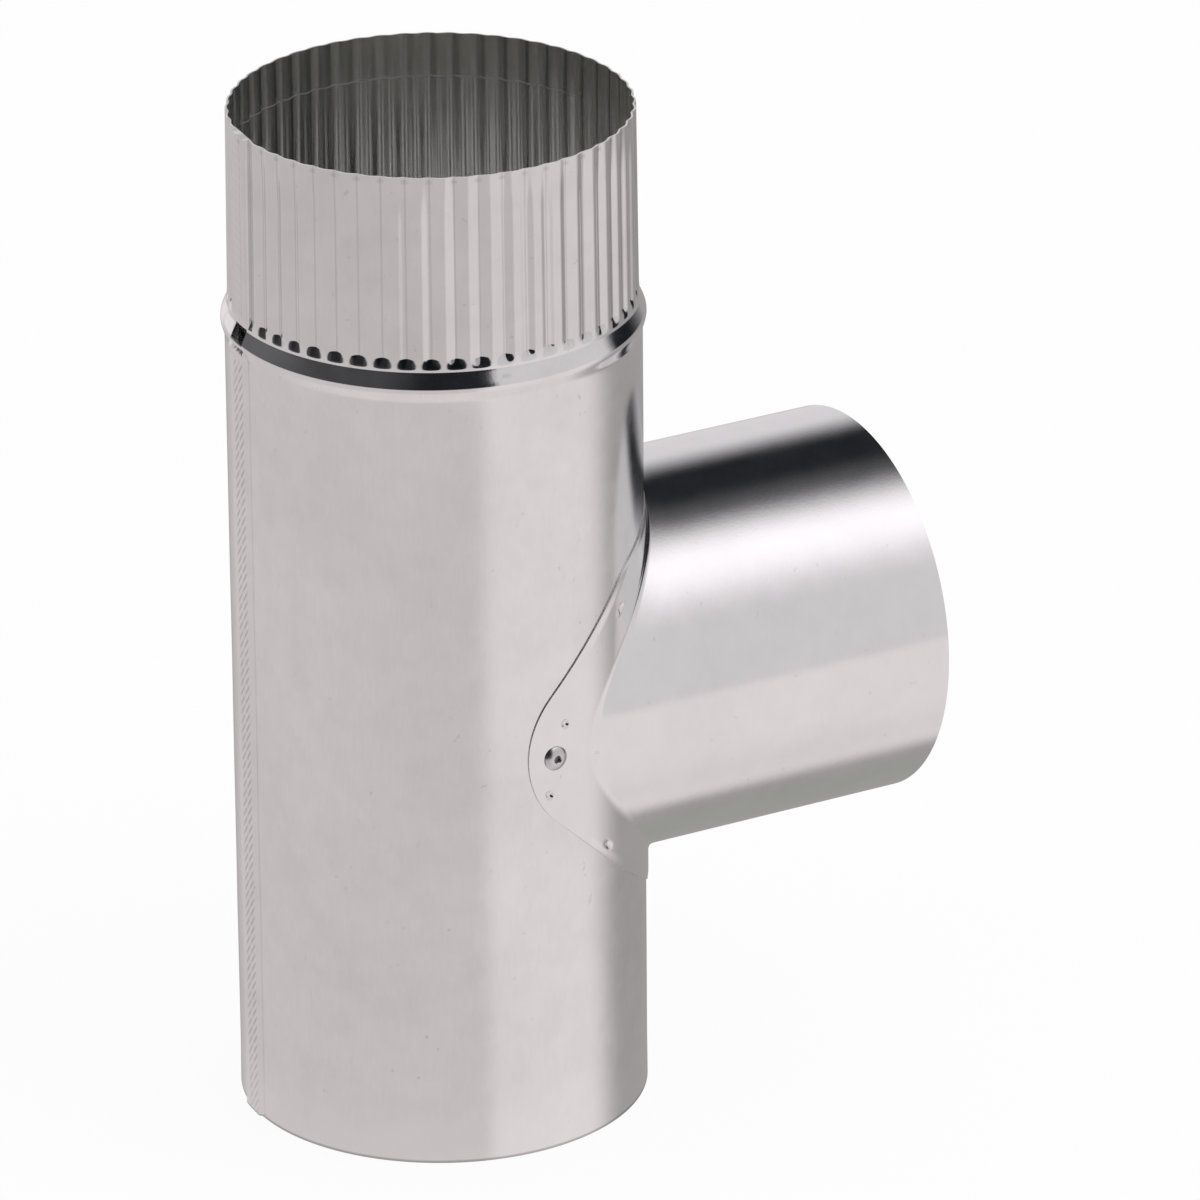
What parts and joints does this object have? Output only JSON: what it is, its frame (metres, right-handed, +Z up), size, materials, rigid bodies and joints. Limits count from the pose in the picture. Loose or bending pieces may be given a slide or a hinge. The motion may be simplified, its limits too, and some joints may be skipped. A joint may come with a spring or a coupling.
{
  "type": "flue tee",
  "caption": "Round sheet-metal flue tee: upright pipe with a crimped, beaded top end and a plain socket end, and a plain round branch on a riveted saddle flange.",
  "frame": {"origin": "centre of the plain socket end, on the pipe's axis, at the edge that the tee stands on", "axes": "+Z up the pipe towards the crimped end, +X along the branch towards its open end"},
  "size_m": [0.1711, 0.1052, 0.26],
  "materials": {
    "pipe_sheet": "mill finish",
    "collar_sheet": "bright mill finish",
    "rivet_body": "satin",
    "rivet_mandrel": "dull"
  },
  "bodies": {
    "root": {"main_pipe": "pipe_sheet", "branch_collar": "collar_sheet", "blind_rivets": "rivet_body", "rivet_mandrels": "rivet_mandrel"}
  },
  "joints": []
}
